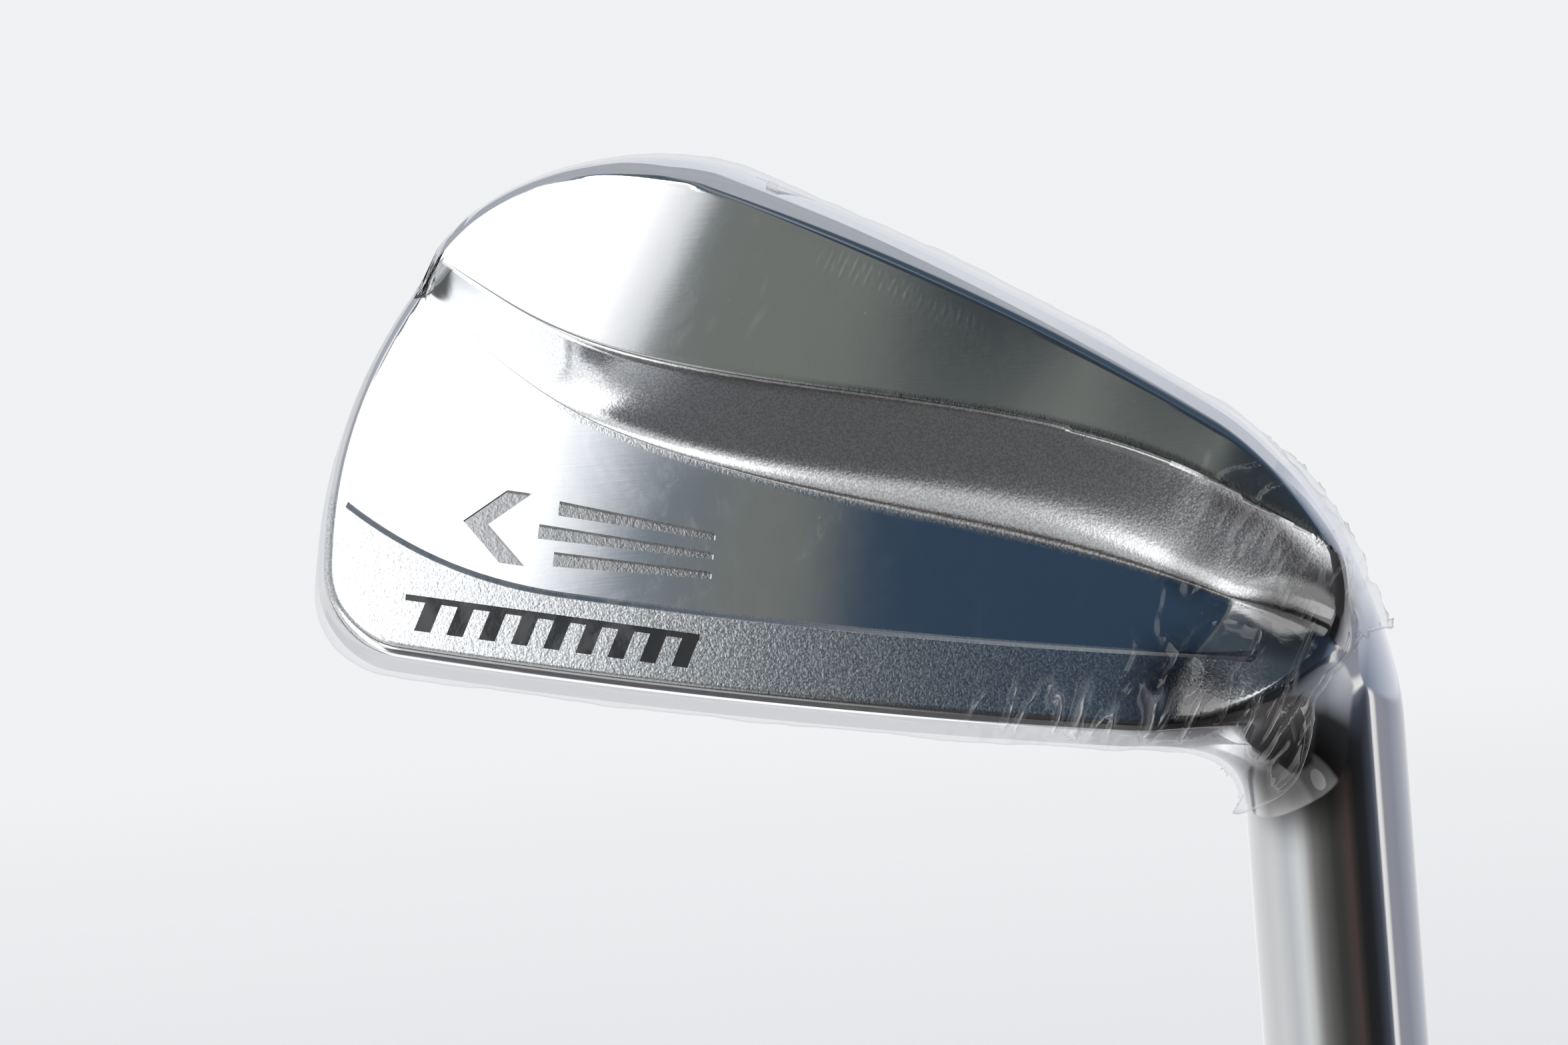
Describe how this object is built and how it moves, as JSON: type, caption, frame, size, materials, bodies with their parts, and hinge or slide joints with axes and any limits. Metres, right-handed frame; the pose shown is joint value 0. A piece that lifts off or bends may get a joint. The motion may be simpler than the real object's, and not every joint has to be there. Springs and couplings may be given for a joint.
{
  "type": "golf iron",
  "caption": "Muscle-back blade iron with a polished forged head, a stepped steel shaft, a ferrule and a rubber grip, its head still sealed in clear shipping film",
  "frame": {"origin": "Centre of the mouth of the vent hole, in the outer face of the grip's butt cap, on the shaft's line", "axes": "+Z runs along the shaft from the grip to the head; the head's back looks along -Y and its face along +Y; the toe points along -X and upward"},
  "size_m": [0.0932, 0.0347, 0.9981],
  "materials": {
    "head": "polished chrome plate with satin blasted bands",
    "paint": "black paint fill",
    "film": "clear shrink film",
    "ferrule": "polished black",
    "epoxy": "cured adhesive",
    "tip_weight": "turned",
    "shaft": "polished chrome plate",
    "shaft_band": "printed label without lettering",
    "grip_tape": "creped paper tape",
    "grip": "moulded with a fine texture"
  },
  "bodies": {
    "root": {"head": "head", "mark_fill": "paint", "number_fill": "paint", "protective_film": "film", "ferrule": "ferrule", "epoxy": "epoxy", "tip_weight": "tip_weight", "shaft": "shaft", "shaft_band": "shaft_band", "grip_tape": "grip_tape", "grip": "grip", "grip_cap": "grip"}
  },
  "joints": []
}
